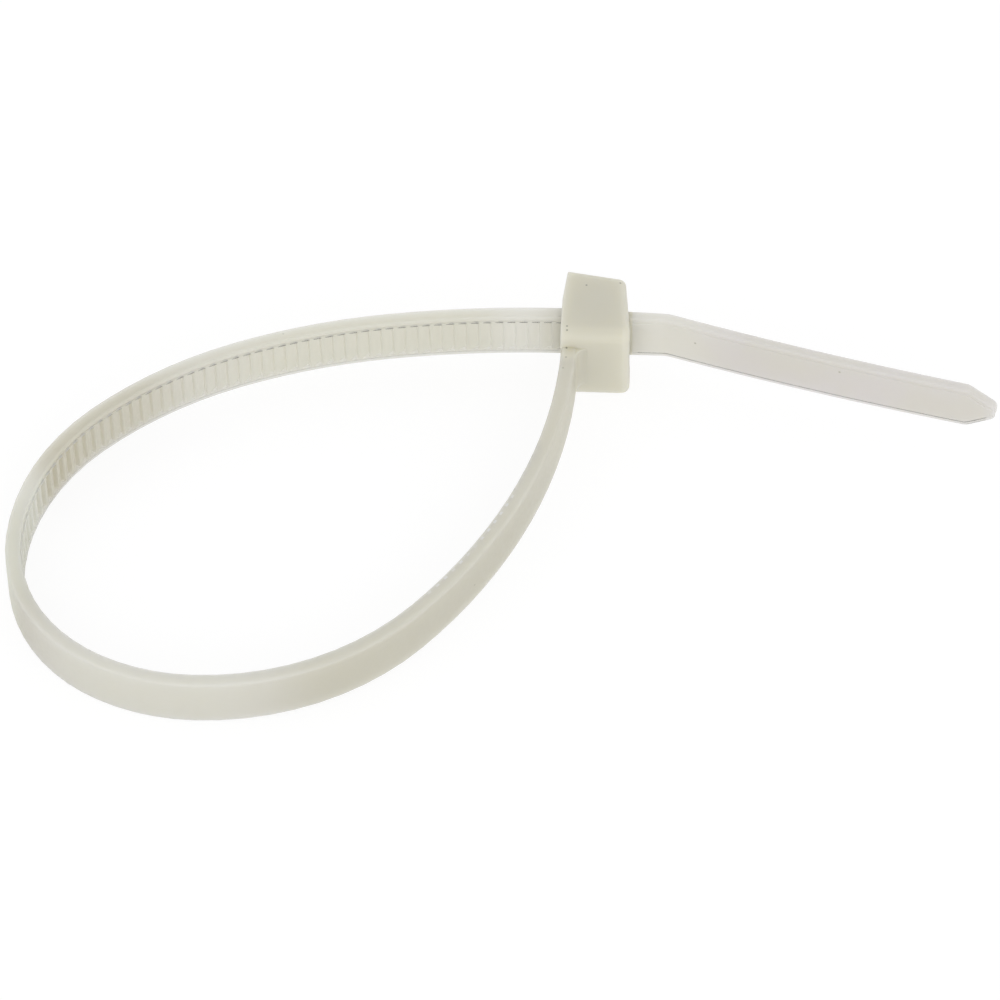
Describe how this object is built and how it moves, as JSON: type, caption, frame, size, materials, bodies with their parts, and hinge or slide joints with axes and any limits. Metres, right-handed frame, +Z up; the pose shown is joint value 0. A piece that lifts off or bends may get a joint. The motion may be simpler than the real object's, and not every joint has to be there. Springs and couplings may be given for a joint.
{
  "type": "cable tie",
  "caption": "Natural nylon cable tie closed into a loose teardrop loop and lying on its edge, with its plain tail pulled through the head",
  "frame": {"origin": "middle of the bounding box in plan, on the table that the tie lies on", "axes": "+X the way that the tail leaves the slot, +Y across the slot and away from the loop, +Z up, along the width of the strap"},
  "size_m": [0.0859, 0.0488, 0.0084],
  "materials": {
    "natural_nylon": "moulded, slightly translucent, warm off-white, satin"
  },
  "bodies": {
    "root": {"cable_tie": "natural_nylon"}
  },
  "joints": []
}
